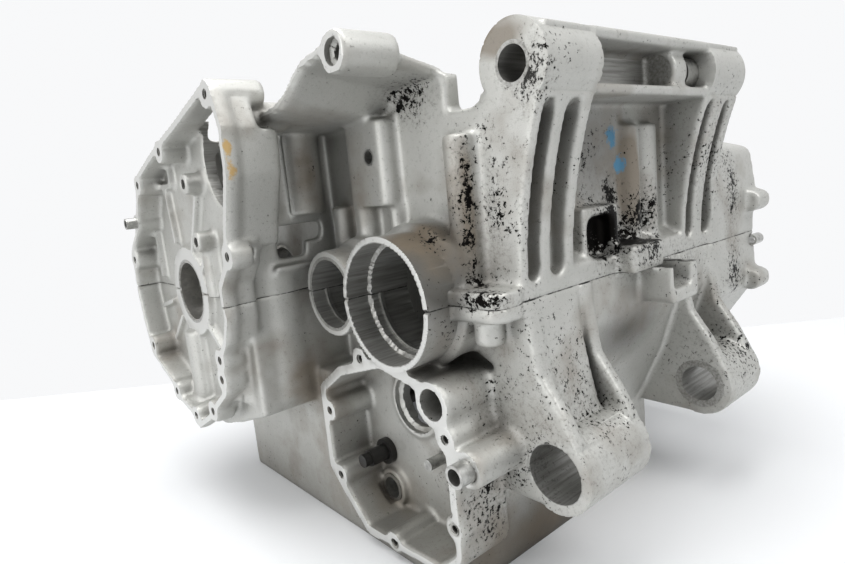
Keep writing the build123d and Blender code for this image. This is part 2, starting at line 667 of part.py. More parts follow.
# oil pan screw holes in the sump face
pan_x = [sump_left_x + 32, -38, -2, 34, sump_right_x - 32]
pan_y = [sump_rear_y + 34, -116, -70, -26, sump_front_y - 12]
pan_in = 6.0
pan_holes = [(x, y) for x in pan_x for y in (sump_rear_y + pan_in,
                                             sump_front_y - pan_in)]
pan_holes += [(x, y) for y in pan_y for x in (sump_left_x + pan_in,
                                              sump_right_x - pan_in)]
case -= [post(x, y, screw_r, -sump_depth - 1, -sump_depth + 7.5)
         for x, y in pan_holes]

upper_case = case & box(-300, 300, -400, 300, 0, 300)
lower_case = case & box(-300, 300, -400, 300, -300, 0)


# Bearings, pins and fasteners

def half(shape, side):
    """The half of a shape above the split, or below it for side -1."""
    cut = box(-300, 300, -400, 300, 0, 300)
    return shape & (cut if side > 0 else Rot(180, 0, 0) * Pos(0, 100, 0)
                    * cut)


def shells(side):
    """The main bearing shells of one half of the case."""
    return [half(tube(x - shell_width / 2 + pin_fit, x + shell_width / 2
                      - pin_fit, 0, 0, bearing_bore_r - pin_fit, journal_r),
                 side) for x in mains_x]


def half_ring(x, y, bore, deep):
    """A locating half ring that stands out of its groove into the bore."""
    return half(tube(x + pin_fit, x + ring_groove_w - pin_fit, y, 0, bore
                     + ring_groove_r - pin_fit, bore - deep), -1)


def hex_bolt(x, y, r, seat, top, head_r, head_h):
    """A bolt that points up, with a hex head under its seat."""
    head = extrude(Pos(x, y, seat - head_h) * RegularPolygon(
        head_r, 6, major_radius=False), head_h)
    return head + post(x, y, r - bolt_fit, seat - 0.5, top)


main_bolts = [hex_bolt(x, y, main_r, seat_z - washer_t, threads_to[y] - 1,
                       main_head_r, main_head_h)
              for x in main_bolts_x for y in (-main_bolt_y, main_bolt_y)]
main_washers = [post(x, y, washer_r, seat_z - washer_t, seat_z)
                - post(x, y, main_r, seat_z - washer_t - 1, seat_z + 1)
                for x in main_bolts_x for y in (-main_bolt_y, main_bolt_y)]
case_bolts_m8 = [hex_bolt(x, y, m8_r, lug_seat_z, front_lug_t, 6.5, 7)
                 for x, y in flange_bolts_m8]
case_bolts_m6 = [hex_bolt(x, y, m6_r, lug_seat_z, front_lug_t, 5, 6)
                 for x, y in flange_bolts_m6]
split_dowels = [
    post(x, y, split_dowel_r - pin_fit, 0.2 - split_dowel_l / 2,
         split_dowel_l / 2 - 0.2)
    - post(x, y, split_dowel_r - split_dowel_wall, -split_dowel_l,
           split_dowel_l) for x, y in split_dowels_at]
left_cover_dowel = tube(left_rim_x - cover_dowel_out, left_rim_x
                        + cover_dowel_depth, *left_dowels[0],
                        cover_dowel_r - pin_fit,
                        cover_dowel_r - cover_dowel_wall)
right_cover_dowels = [tube(right_rim_x - cover_dowel_depth, right_rim_x
                           + cover_dowel_out - 2, y, z,
                           cover_dowel_r - pin_fit,
                           cover_dowel_r - cover_dowel_wall)
                      for y, z in right_dowels]
sleeve_dowel = tube(sleeve_x, sleeve_seat_x, sleeve_y, sleeve_z,
                    sleeve_r - pin_fit, sleeve_bore_r)
spring_pin = rod(spring_pin_x, pin_seat_x, *spring_pin_at, spring_pin_r
                 - pin_fit)
spring_pin += rod(shift_floor_x - 4, shift_floor_x - 0.5, *spring_pin_at,
                  spring_flange_r)
spring_pin += rod(spring_pin_x + 5, shift_floor_x - 3, *spring_pin_at,
                  spring_pin_r + 1)
locating_pin = rod(locating_pin_x, pin_seat_x, *locating_pin_at,
                   locating_pin_r - pin_fit)
shaft_bush = tube(shift_floor_x - 4, shift_floor_x + wall, *bush_at, bush_r
                  - pin_fit, bush_bore_r)
mount_adjuster = tube(far_upper_x - adjuster_out, far_end, upper_mount_y,
                      upper_mount_z, adjuster_r - pin_fit, adjuster_bore_r)
thread_insert = tube(insert_x, insert_x + insert_l, *insert_at,
                     insert_r - pin_fit, insert_bore_r)
gallery_plug = rod(case_end_x + 4 - plug_l, case_end_x + 3, *gallery_at,
                   plug_r - pin_fit)
deck_dowels = []
for place, x in deck_dowels_at:
    ring = Circle(deck_dowel_r - pin_fit) - Circle(deck_stud_r + 0.4)
    deck_dowels.append(extrude(on_deck(place * ring, x), deck_dowel_l
                               - deck_dowel_depth)
                       + extrude(on_deck(place * ring, x),
                                 -deck_dowel_depth))

# The castings and the pieces in them move to the frame of the part
rear_end = lower_mount_y - lower_mount_r
front_end = front_lug_y + front_lug_r
left_end = left_rim_x - cover_dowel_out
right_end = right_rim_x + cover_dowel_out - 2
to_part = Pos(-(left_end + right_end) / 2, -(rear_end + front_end) / 2,
              sump_depth)

pieces = {
    "upper_case": upper_case,
    "lower_case": lower_case,
    "main_shells_upper": shells(1),
    "main_shells_lower": shells(-1),
    "output_half_ring": half_ring(output_groove_x, output_y, output_bore_r,
                                  1.2),
    "input_half_ring": half_ring(input_groove_x, input_y, input_bore_r, 1.2),
    "main_bolts": main_bolts,
    "main_washers": main_washers,
    "case_bolts_m8": case_bolts_m8,
    "case_bolts_m6": case_bolts_m6,
    "split_dowels": split_dowels,
    "left_cover_dowel": left_cover_dowel,
    "right_cover_dowels": right_cover_dowels,
    "sleeve_dowel": sleeve_dowel,
    "spring_pin": spring_pin,
    "locating_pin": locating_pin,
    "shaft_bush": shaft_bush,
    "mount_adjuster": mount_adjuster,
    "thread_insert": thread_insert,
    "gallery_plug": gallery_plug,
    "deck_dowels": deck_dowels}

os.makedirs("parts", exist_ok=True)
for name, shape in pieces.items():
    group = shape if isinstance(shape, list) else [shape]
    solids = [s for item in group for s in (to_part * item).solids()]
    print(name, len(solids), [round(s.volume) for s in solids])
    export_step(Compound(solids), f"parts/{name}.step")
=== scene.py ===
# %% [markdown]
# # An engine crankcase, finished for the camera
#
# A crankcase is two aluminium castings bolted together along one flat split.
# The exact castings are loaded first as a fixed frame. Blender then gives
# them what a casting has in the hand: soft cast edges, crisp machined faces,
# a blasted skin, oil stains and chipped black flakes.

# %% Load the fixed model
import json
import math

import bmesh
import bpy
import numpy as np
from mathutils import Matrix, Vector


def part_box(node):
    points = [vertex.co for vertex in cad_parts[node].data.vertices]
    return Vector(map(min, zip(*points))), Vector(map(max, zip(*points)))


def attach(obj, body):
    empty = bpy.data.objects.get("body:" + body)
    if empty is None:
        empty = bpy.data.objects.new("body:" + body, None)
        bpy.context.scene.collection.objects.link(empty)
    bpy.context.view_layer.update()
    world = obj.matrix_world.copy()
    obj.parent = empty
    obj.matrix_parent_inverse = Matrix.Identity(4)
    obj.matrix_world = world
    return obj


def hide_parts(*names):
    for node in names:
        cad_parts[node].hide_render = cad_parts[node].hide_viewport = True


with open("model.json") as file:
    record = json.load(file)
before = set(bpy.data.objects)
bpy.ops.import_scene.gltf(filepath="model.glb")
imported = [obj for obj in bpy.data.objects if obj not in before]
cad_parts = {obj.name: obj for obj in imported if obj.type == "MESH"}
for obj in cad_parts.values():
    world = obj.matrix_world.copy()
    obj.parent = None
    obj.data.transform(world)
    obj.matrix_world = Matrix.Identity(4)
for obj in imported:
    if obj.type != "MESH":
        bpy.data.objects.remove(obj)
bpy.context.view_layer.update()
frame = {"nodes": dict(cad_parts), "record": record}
nodes = frame["nodes"]
print("pieces in the model:", sorted(nodes))

# %% [markdown]
# The drawing of the engine counts from the crankshaft: X runs along the
# crank, Y to the front and Z up from the split. The model's own origin is
# on the bench under the middle of the case, so one shift joins the two.
# It is measured from the model itself, from the bench to the split and from
# the crank to the rear, so the looks follow the castings if they change.

# %% The engine's own axes, in millimetres
split_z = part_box("lower_case")[1][2] * 1000
crank_y = (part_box("main_shells_upper")[0][1]
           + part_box("main_shells_upper")[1][1]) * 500
crank_x = (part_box("main_shells_upper")[0][0]
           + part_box("main_shells_upper")[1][0]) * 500
print("crank at", round(crank_x, 2), round(crank_y, 2), round(split_z, 2))


def bench(x, y, z):
    """A point of the engine drawing, in metres on the bench."""
    return Vector((x + crank_x, y + crank_y, z + split_z)) / 1000


# %% [markdown]
# ## The camera
#
# The photograph was taken close to the rear left corner, a little above the
# case and with the camera slightly rolled. A short distance gives the strong
# perspective, so the place matters more than the lens. The focal length is
# counted in the picture's own points, as its width is.

# %% Camera at the photograph's place
eye_place = (-282, -397, 59)
picture_width = 845
focal_length = 597
turn = math.radians(50.2)
dip = math.radians(9.9)
roll = math.radians(-5.65)
ahead = Vector((math.cos(turn) * math.cos(dip), math.sin(turn)
                * math.cos(dip), -math.sin(dip)))
level = Vector((math.sin(turn), -math.cos(turn), 0))
upright = level.cross(ahead)
right = level * math.cos(roll) + upright * math.sin(roll)
up = upright * math.cos(roll) - level * math.sin(roll)
camera_data = bpy.data.cameras.new("camera")
camera_data.sensor_width = 36
camera_data.lens = camera_data.sensor_width * focal_length / picture_width
camera_data.clip_start = 0.01
camera = bpy.data.objects.new("camera", camera_data)
bpy.context.scene.collection.objects.link(camera)
pose = Matrix((right, up, -ahead)).transposed().to_4x4()
pose.translation = bench(*eye_place)
camera.matrix_world = pose
bpy.context.scene.camera = camera
print("lens", round(camera_data.lens, 2), "mm")

# %% [markdown]
# ## Node sums that read like sums
#
# A material on Object coordinates is mostly arithmetic: how far a point is
# from a bore, how dark a stain is there. So is the shape of a bolt's head.
# Wrapping a socket in a small class lets Python's own signs add the Math
# nodes, in shaders and in Geometry Nodes alike.


# %% A socket that knows its sums
class Wire:
    """One output socket of a tree, ready for arithmetic."""

    def __init__(self, nodes, socket):
        self.nodes = nodes
        self.socket = socket

    def sum_of(self, kind, *values, clamp=False):
        settings = {"operation": kind, "use_clamp": clamp}
        return self.nodes.node("ShaderNodeMath", settings,
                               dict(enumerate(values)))

    def __add__(self, other):
        return self.sum_of("ADD", self, other)

    __radd__ = __add__

    def __sub__(self, other):
        return self.sum_of("SUBTRACT", self, other)

    def __rsub__(self, other):
        return self.sum_of("SUBTRACT", other, self)

    def __mul__(self, other):
        return self.sum_of("MULTIPLY", self, other)

    __rmul__ = __mul__

    def __truediv__(self, other):
        return self.sum_of("DIVIDE", self, other)

    def __pow__(self, other):
        return self.sum_of("POWER", self, other)

    def __abs__(self):
        return self.sum_of("ABSOLUTE", self)

    def over(self, limit, soft):
        """0 under a limit and 1 over it, with a soft step between."""
        return self.sum_of("MULTIPLY_ADD", self, 1 / soft,
                           0.5 - limit / soft, clamp=True)

    def under(self, limit, soft):
        return self.sum_of("MULTIPLY_ADD", self, -1 / soft,
                           0.5 + limit / soft, clamp=True)

    def most(self, other):
        return self.sum_of("MAXIMUM", self, other)


class Nodes:
    """A node tree with a short way to add to it."""

    def __init__(self, tree):
        self.tree = tree

    def put(self, socket, value):
        if isinstance(value, Wire):
            self.tree.links.new(value.socket, socket)
        elif value is not None:
            socket.default_value = value

    def node(self, kind, settings=None, inputs=None, out=0):
        made = self.tree.nodes.new(kind)
        for name, value in (settings or {}).items():
            setattr(made, name, value)
        for name, value in (inputs or {}).items():
            self.put(made.inputs[name], value)
        return Wire(self, made.outputs[out])

    def parts(self, vector):
        """The three numbers of a vector."""
        split = self.node("ShaderNodeSeparateXYZ", None, {0: vector})
        return [Wire(self, socket) for socket in split.socket.node.outputs]


# %% [markdown]
# A material adds the few nodes that every metal here needs: noise of a given
# size, the place on the engine's drawing and the way that a surface faces.


# %% A material
class Paint(Nodes):
    """A material with a Principled shader."""

    def __init__(self, name):
        self.material = bpy.data.materials.new(name)
        self.material.use_nodes = True
        super().__init__(self.material.node_tree)
        self.shader = self.tree.nodes["Principled BSDF"]

    def mix(self, share, first, second):
        """A colour between two colours."""
        return self.node("ShaderNodeMix", {"data_type": "RGBA"},
                         {0: share, 6: first, 7: second}, out=2)

    def noise(self, size, detail=2.0, rough=0.5, stretch=(1, 1, 1)):
        """Noise whose lumps are about size millimetres wide."""
        place = self.place
        if stretch != (1, 1, 1):
            place = self.node("ShaderNodeMapping", None,
                              {0: place, 3: stretch})
        return self.node("ShaderNodeTexNoise", None, {
            "Vector": place, "Scale": 1000 / size, "Detail": detail,
            "Roughness": rough})

    def axes(self):
        """The engine's x, y and z of the surface, in millimetres."""
        self.place = self.node("ShaderNodeTexCoord", out=3)
        x, y, z = self.parts(self.place)
        return (x * 1000 - crank_x, y * 1000 - crank_y, z * 1000 - split_z)

    def facing(self):
        """The surface's own direction, as three numbers."""
        return self.parts(self.node("ShaderNodeNewGeometry", out=1))

    def finish(self, **sockets):
        for name, value in sockets.items():
            self.put(self.shader.inputs[name.replace("_", " ")], value)
        return self.material


# %% [markdown]
# ## Soft cast edges, crisp machined ones
#
# Sand and steel moulds can't make a sharp edge, so every cast corner has a
# radius of a few millimetres, and every root a fillet. A bevel on thousands of
# crossing edges tears, so the shape is rebuilt from small cubes of space,
# smoothed until the corners are round, and thinned again where it is flat.
# The cutter leaves sharp edges, so the points beside a machined plane or bore
# belong to it: while the rest is smoothed they slide, but never leave it.

# %% Where the machined faces lie, on the engine drawing
# faces that look left: both cover faces, the collar's and those of bosses
left_face, shift_face, collar_face = -162, -112, -116.4
left_faces = [left_face, shift_face, collar_face, -135, -140, -136, -150]
right_face, pan_face = 165, -149
near_mount_x, web_x, insert_x = -82, 54, -92
far_upper_x, far_lower_x = 66, 60
# axes along the crank, as y and z
crank_axis, output_axis, input_axis = (0, 0), (-166, 0), (-111.5, 0)
upper_mount, lower_mount = (-228, 101.7), (-236.8, -79.3)
insert_axis, starter_axis, bush_axis = (-134.5, 72), (-75, 79.6), (-144, -66)
left_screws = [(-102, 109), (-20, 89), (-98.8, 28.5), (-65, -33),
               (-63.5, -45), (-39.8, -70), (-7, -81), (34, 72), (74, 20),
               (65, -44), (26, -71)]
shift_screws = [(-94.3, -73), (-98, -113.5), (-133.4, -34), (-197.6, -62.5),
                (-198, -108.6), (-146.4, -138)]
right_screws = [(-232, 22), (-232, -32), (-190, -80), (-120, -91),
                (-40, -88), (34, -72), (70, -34), (66, 22), (10, 64),
                (-64, 80), (-130, 87), (-196, 67)]
screw_r = 2.6
print(len(left_screws + shift_screws + right_screws), "cover screws")

# %% Machined planes and bores
# planes: axis, place, side that the face looks to, and the part of the plane
# that counts, as a centre and a radius on the two other axes
planes = [(0, x, -1, (-85, 0), 150) for x in left_faces]
planes += [(0, near_mount_x, -1, upper_mount, 18.4),
           (0, near_mount_x, -1, lower_mount, 19.4),
           (0, insert_x, -1, insert_axis, 7), (0, web_x, -1, upper_mount, 9),
           (0, -43, 1, upper_mount, 18.4),
           (0, far_upper_x, -1, upper_mount, 18.4),
           (0, far_lower_x, -1, lower_mount, 19.4),
           (0, 102, 1, lower_mount, 19.4), (0, right_face, 1, (-80, 0), 170),
           (2, pan_face, -1, (0, -80), 200), (2, 0, -1, (0, -60), 250),
           (2, 0, 1, (0, -60), 250)]
# bores along the crank: y and z of the axis, radius, and both ends; a
# radius under zero is the outside of a boss
bores = [(*output_axis, -33.5, -116.4, -97), (*upper_mount, -18.5, -82, -44),
         (*lower_mount, -19.5, -82, -32), (*upper_mount, -18.5, 67, 105),
         (*output_axis, 30.5, -117.4, -102), (*output_axis, 28.5, -102, -76),
         (*input_axis, 19.4, -113, -76), (*crank_axis, 21, -150, 150),
         (*crank_axis, 19.8, -159, 159), (*starter_axis, 29, -147, -134),
         (*upper_mount, 7.6, -83, -42), (*upper_mount, 9, 66, 107),
         (*lower_mount, 14.3, -83, -30), (*lower_mount, 10.6, 59, 103),
         (*output_axis, 24, 58, 73), (*input_axis, 26, 58, 73),
         (-190, -47, 8, -113, -76), (*bush_axis, 17, -88, -82.5),
         (*bush_axis, 14.5, -82.5, -76), (*insert_axis, 4.4, -93, -80),
         (-96.2, 98, 3.9, -141, -125), (-177.5, 114, 5.7, -137, -132),
         (-177.5, 114, 3.6, -132, -112), (-116, -126, 8.5, -92, -78),
         (-112, -103.5, 4, -88, -79), (-163, -93, 3.2, -89, -79),
         (-210.8, -73.6, 5.6, -113, -96), (-43.8, 34.4, 3, -159, -144),
         (-38.1, 68.5, 3, -159, -144), (52, 47, 3.8, -163, -155)]
bores += [(*screw, screw_r, -163, -147) for screw in left_screws]
bores += [(*screw, screw_r, -113, -97) for screw in shift_screws]
bores += [(*screw, screw_r, 150, 166) for screw in right_screws]
print(len(planes), "planes and", len(bores), "bores along the axes")

# %% The deck, which leans forward with the cylinders
# its own frame: square to the deck, along the crank, and down the deck;
# each mouth has a spigot's seat on top and the skirt's room under it
lean = math.sin(math.radians(45))
deck_frame = np.array([[0, lean, lean], [1, 0, 0], [0, lean, -lean]])
deck_height, seat_foot, room_foot = 56, 49.6, 30
cylinder_x = (-108, -36, 36, 108)
deck_planes = [(0, deck_height, 1, (0, 0), 170)]
deck_bores = [(x, 0, 33, seat_foot, deck_height) for x in cylinder_x]
deck_bores += [(x, 0, 33.6, room_foot, seat_foot) for x in cylinder_x]
machined = [(np.eye(3), planes, bores), (deck_frame, deck_planes, deck_bores)]
print(sum(len(flats) + len(rounds) for axes, flats, rounds in machined),
      "machined faces")


# %% Which points lie by each machined face
# how well a point's own direction agrees with a plane's and with a bore's
like_plane, like_bore = 0.6, 0.55
# how far past its ends a bore still counts
past_end = 0.4
# the faces of each frame are numbered from a new thousand
frame_step = 1000


def by_machined_faces(points, normals, reach):
    """For each point the number of its plane and of its bore, or -1."""
    flat_no = np.full(len(points), -1)
    round_no = np.full(len(points), -1)
    for turned, (axes, flats, rounds) in enumerate(machined):
        first_no = turned * frame_step
        at, facing = points @ axes.T, normals @ axes.T
        for number, (axis, place, side, centre, radius) in enumerate(flats):
            others = [k for k in range(3) if k != axis]
            away = np.hypot(at[:, others[0]] - centre[0],
                            at[:, others[1]] - centre[1])
            near = ((abs(at[:, axis] - place) < reach) & (away < radius)
                    & (facing[:, axis] * side > like_plane))
            flat_no[near] = first_no + number
        for number, (y, z, radius, x0, x1) in enumerate(rounds):
            across = at[:, 1:] - (y, z)
            away = np.hypot(across[:, 0], across[:, 1]) + 1e-9
            inward = -(across * facing[:, 1:]).sum(1) / away
            near = ((abs(away - abs(radius)) < reach)
                    & (at[:, 0] > x0 - past_end) & (at[:, 0] < x1 + past_end)
                    & (inward * np.sign(radius) > like_bore))
            round_no[near] = first_no + number
    return flat_no, round_no


def close_rims(edges, flat_no, round_no):
    """A plane's point beside a bore's point belongs to the bore as well."""
    for first, second in (edges.T, edges.T[::-1]):
        meets = ((flat_no[first] >= 0) & (round_no[first] < 0)
                 & (round_no[second] >= 0) & (flat_no[second] < 0))
        round_no[first[meets]] = round_no[second[meets]]


def put_back(points, flat_no, round_no):
    """Moves each point onto its plane, and then onto its bore."""
    for turned, (axes, flats, rounds) in enumerate(machined):
        for numbers, faces in ((flat_no, flats), (round_no, rounds)):
            for number, face in enumerate(faces):
                face_no = turned * frame_step + number
                members = np.flatnonzero(numbers == face_no)
                at = points[members] @ axes.T
                if faces is flats:
                    at[:, face[0]] = face[1]
                else:
                    across = at[:, 1:] - face[:2]
                    away = np.hypot(across[:, 0], across[:, 1]) + 1e-9
                    at[:, 1:] = (face[:2] + across
                                 * (abs(face[2]) / away)[:, None])
                points[members] = at @ axes


# %% A rounded copy of a casting
def grid_of(mesh):
    """A mesh's points, normals and edges as arrays, in millimetres."""
    count = len(mesh.vertices)
    points = np.empty(count * 3)
    mesh.vertices.foreach_get("co", points)
    normals = np.empty(count * 3, np.float32)
    mesh.vertex_normals.foreach_get("vector", normals)
    edges = np.empty(len(mesh.edges) * 2, np.int64)
    mesh.edges.foreach_get("vertices", edges)
    shift = (crank_x, crank_y, split_z)
    return (points.reshape(-1, 3) * 1000 - shift, normals.reshape(-1, 3),
            edges.reshape(-1, 2))


def keep(mesh, points):
    """Writes points of the drawing back into a mesh."""
    back = (points + (crank_x, crank_y, split_z)) / 1000
    mesh.vertices.foreach_set("co", back.ravel())
    mesh.update()


def relaxed(points, edges, share):
    """Each point moved towards the middle of its neighbours."""
    count = len(points)
    degree = np.bincount(edges.ravel(), minlength=count)[:, None]
    total = np.stack([np.bincount(edges[:, 0], points[edges[:, 1], k], count)
                      + np.bincount(edges[:, 1], points[edges[:, 0], k],
                                    count) for k in range(3)], 1)
    return points + (total / degree - points) * share


def applied(obj, kind, **settings):
    """The plain mesh that a modifier makes of an object."""
    modifier = obj.modifiers.new(kind, kind)
    for name, value in settings.items():
        setattr(modifier, name, value)
    shown = obj.evaluated_get(bpy.context.evaluated_depsgraph_get())
    mesh = bpy.data.meshes.new_from_object(shown)
    obj.modifiers.remove(modifier)
    return mesh


def merged(node_name):
    """A copy of a node's mesh with its loose triangles joined."""
    mesh = nodes[node_name].data.copy()
    sheet = bmesh.new()
    sheet.from_mesh(mesh)
    bmesh.ops.remove_doubles(sheet, verts=sheet.verts, dist=1e-6)
    sheet.to_mesh(mesh)
    sheet.free()
    return mesh


# %% Rebuild, smooth and thin
# reach of a machined face before and after thinning, in millimetres
reach_first, reach_last = 1.1, 0.25
# how little a rim counts as ready to be thinned
rim_hold = 0.001
# sharper corners than this stay sharp in the shading
cast_corner = math.radians(38)


def soften(node_name, piece_name, voxel=0.0013, rounds=6, faces=190000):
    """A casting from cells of a voxel's size, with the cut faces kept."""
    piece = bpy.data.objects.new(piece_name, merged(node_name))
    bpy.context.scene.collection.objects.link(piece)
    piece.data = applied(piece, "REMESH", mode="VOXEL", voxel_size=voxel)
    points, normals, edges = grid_of(piece.data)
    flat_no, round_no = by_machined_faces(points, normals, reach_first)
    close_rims(edges, flat_no, round_no)
    for _ in range(rounds):
        points = relaxed(points, edges, 0.5)
        put_back(points, flat_no, round_no)
    keep(piece.data, points)
    # the rims of the machined faces are thinned last of all
    bare = (flat_no >= 0) | (round_no >= 0)
    first, second = edges.T
    rim = edges[(flat_no[first] != flat_no[second])
                | (round_no[first] != round_no[second])]
    rim = np.unique(rim[bare[rim]])
    group = piece.vertex_groups.new(name="rims")
    group.add(rim.tolist(), 1, "REPLACE")
    full = len(piece.data.polygons) * 2
    piece.data = applied(piece, "DECIMATE", ratio=min(1, faces / full),
                         vertex_group="rims", invert_vertex_group=True,
                         vertex_group_factor=rim_hold)
    piece.vertex_groups.clear()
    points, normals, edges = grid_of(piece.data)
    put_back(points, *by_machined_faces(points, normals, reach_last))
    keep(piece.data, points)
    piece.data.set_sharp_from_angle(angle=cast_corner)
    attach(piece, "root")
    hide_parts(node_name)
    print(piece_name, full, "to", len(piece.data.polygons), "faces,",
          len(rim), "points on machined rims")
    return piece


upper_casting = soften("upper_case", "upper_casting")
lower_casting = soften("lower_case", "lower_casting")

# %% [markdown]
# ## Threads and bolts
#
# Nearly fifty tapped holes stand open round the covers and the oil pan, and
# fourteen hex bolts hold the split together from below. Both repeat, so each
# is one Geometry Nodes recipe that is put on a list of places. A thread is a
# three-sided coil half sunk in the wall of its hole.


# %% A recipe for a piece that repeats
class Recipe(Nodes):
    """A Geometry Nodes tree with named sizes."""

    def __init__(self, name, **kinds):
        super().__init__(bpy.data.node_groups.new(name, "GeometryNodeTree"))
        face = self.tree.interface
        face.new_socket(name="Geometry", in_out="OUTPUT",
                        socket_type="NodeSocketGeometry")
        kinds = {"Places": "Geometry", "Turn": "Vector", **kinds,
                 "Finish": "Material"}
        for label, kind in kinds.items():
            face.new_socket(name=label, in_out="INPUT",
                            socket_type="NodeSocket" + kind)
        source = self.tree.nodes.new("NodeGroupInput")
        self.size = {label: Wire(self, source.outputs[label])
                     for label in kinds}
        self.last = self.tree.nodes.new("NodeGroupOutput")

    def repeats(self, shape):
        placed = self.node("GeometryNodeInstanceOnPoints", None, {
            "Points": self.size["Places"], "Instance": shape,
            "Rotation": self.size["Turn"]})
        plain = self.node("GeometryNodeRealizeInstances", None, {0: placed})
        painted = self.node("GeometryNodeSetMaterial", None, {
            "Geometry": plain, "Material": self.size["Finish"]})
        self.put(self.last.inputs[0], painted)
        return self


def repeat(recipe, piece_name, places, slot, smooth=30, **sizes):
    """A recipe at each place of the drawing, as one plain mesh."""
    mesh = bpy.data.meshes.new(piece_name)
    mesh.from_pydata([tuple(bench(*place)) for place in places], [], [])
    piece = bpy.data.objects.new(piece_name, mesh)
    bpy.context.scene.collection.objects.link(piece)
    modifier = piece.modifiers.new(recipe.tree.name, "NODES")
    modifier.node_group = recipe.tree
    sockets = {item.name: item.identifier
               for item in recipe.tree.interface.items_tree
               if item.in_out == "INPUT"}
    for label, value in sizes.items():
        modifier[sockets[label]] = value
    shown = piece.evaluated_get(bpy.context.evaluated_depsgraph_get())
    piece.data = bpy.data.meshes.new_from_object(shown)
    piece.modifiers.clear()
    piece.data.set_sharp_from_angle(angle=math.radians(smooth))
    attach(piece, "root")
    print(piece_name, "at", len(places), "places,",
          len(piece.data.polygons), "faces")
    return piece


# %% A thread
thread = Recipe("thread", Radius="Float", Pitch="Float", Depth="Float")
coil = thread.node("GeometryNodeCurveSpiral", None, {
    "Resolution": 14, "Rotations": thread.size["Depth"]
    / thread.size["Pitch"], "Start Radius": thread.size["Radius"],
    "End Radius": thread.size["Radius"], "Height": thread.size["Depth"]})
ridge = thread.node("GeometryNodeCurvePrimitiveCircle", None, {
    "Resolution": 3, "Radius": thread.size["Pitch"] * 0.45})
thread.repeats(thread.node("GeometryNodeCurveToMesh", None, {
    "Curve": coil, "Profile Curve": ridge, "Fill Caps": True}))

# %% Threads in the tapped holes: every place
quarter = math.pi / 2
first_turn = 0.4
six_mm = {"Radius": screw_r / 1000, "Pitch": 0.001}
pan_x = [-76, -38, -2, 34, 64]
pan_y = [-162, -116, -70, -26, 28]
pan_screws = [(x, y) for x in pan_x for y in (-190, 34)]
pan_screws += [(x, y) for y in pan_y for x in (-102, 90)]
left_holes = [(left_face + first_turn, *screw) for screw in left_screws]
left_holes += [(shift_face + first_turn, *screw) for screw in shift_screws]
right_holes = [(right_face - first_turn, *screw) for screw in right_screws]
pan_holes = [(*screw, pan_face + first_turn) for screw in pan_screws]
threads = [
    repeat(thread, "left_threads", left_holes, "cast_aluminium",
           Turn=(0, quarter, 0), Depth=0.009, **six_mm),
    repeat(thread, "right_threads", right_holes, "cast_aluminium",
           Turn=(0, -quarter, 0), Depth=0.009, **six_mm),
    repeat(thread, "pan_threads", pan_holes, "cast_aluminium",
           Turn=(0, 0, 0), Depth=0.006, **six_mm)]

# %% [markdown]
# A bolt's head is a hexagon whose corners are cut off by a cone, with a
# shallow dish on top and a round flange under it. A cylinder's points are
# moved out to the hexagon by their angle, and those of the end face are then
# lowered where they lie outside the cone.

# %% Hex flange bolts
bolt = Recipe("bolt", Across="Float", Height="Float", Flange="Float",
              Shank="Float", Reach="Float")
across, height = bolt.size["Across"], bolt.size["Height"]
reach = bolt.size["Reach"]
blank = bolt.node("GeometryNodeMeshCylinder", None, {
    "Vertices": 48, "Side Segments": 1, "Fill Segments": 5, "Radius": 1,
    "Depth": 1})
bx, by, bz = bolt.parts(bolt.node("GeometryNodeInputPosition"))
sixth = math.pi / 3
corner = by.sum_of("ARCTAN2", by, bx)
corner = corner.sum_of("FLOORED_MODULO", corner, sixth) - sixth / 2
hexagon = across / 2 / corner.sum_of("COSINE", corner)
share = (bx * bx + by * by) ** 0.5
radius = hexagon * share ** 0.3
tip = bz.under(-0.4, 0.1)
cone = (radius - across * 0.47).most(0) * 0.58
dish = share.under(0.5, 0.2) * height * 0.12
drop = (0.5 - bz) * height - tip * (cone + dish)
shaped = bolt.node("ShaderNodeCombineXYZ", None, {
    0: bx / share.most(0.001) * radius, 1: by / share.most(0.001) * radius,
    2: drop * -1})
head = bolt.node("GeometryNodeSetPosition", None, {
    "Geometry": blank, "Position": shaped})
flange = bolt.node("GeometryNodeMeshCylinder", None, {
    "Vertices": 48, "Radius": bolt.size["Flange"], "Depth": height * 0.16})
flange = bolt.node("GeometryNodeTransform", None, {
    "Geometry": flange, "Translation": bolt.node(
        "ShaderNodeCombineXYZ", None, {2: height * -0.08})})
shank = bolt.node("GeometryNodeMeshCylinder", None, {
    "Vertices": 32, "Radius": bolt.size["Shank"], "Depth": reach})
shank = bolt.node("GeometryNodeTransform", None, {
    "Geometry": shank, "Translation": bolt.node(
        "ShaderNodeCombineXYZ", None, {2: reach / 2})})
whole = bolt.node("GeometryNodeJoinGeometry", None, {0: head})
for more in (flange, shank):
    bolt.put(whole.socket.node.inputs[0], more)
bolt.repeats(whole)

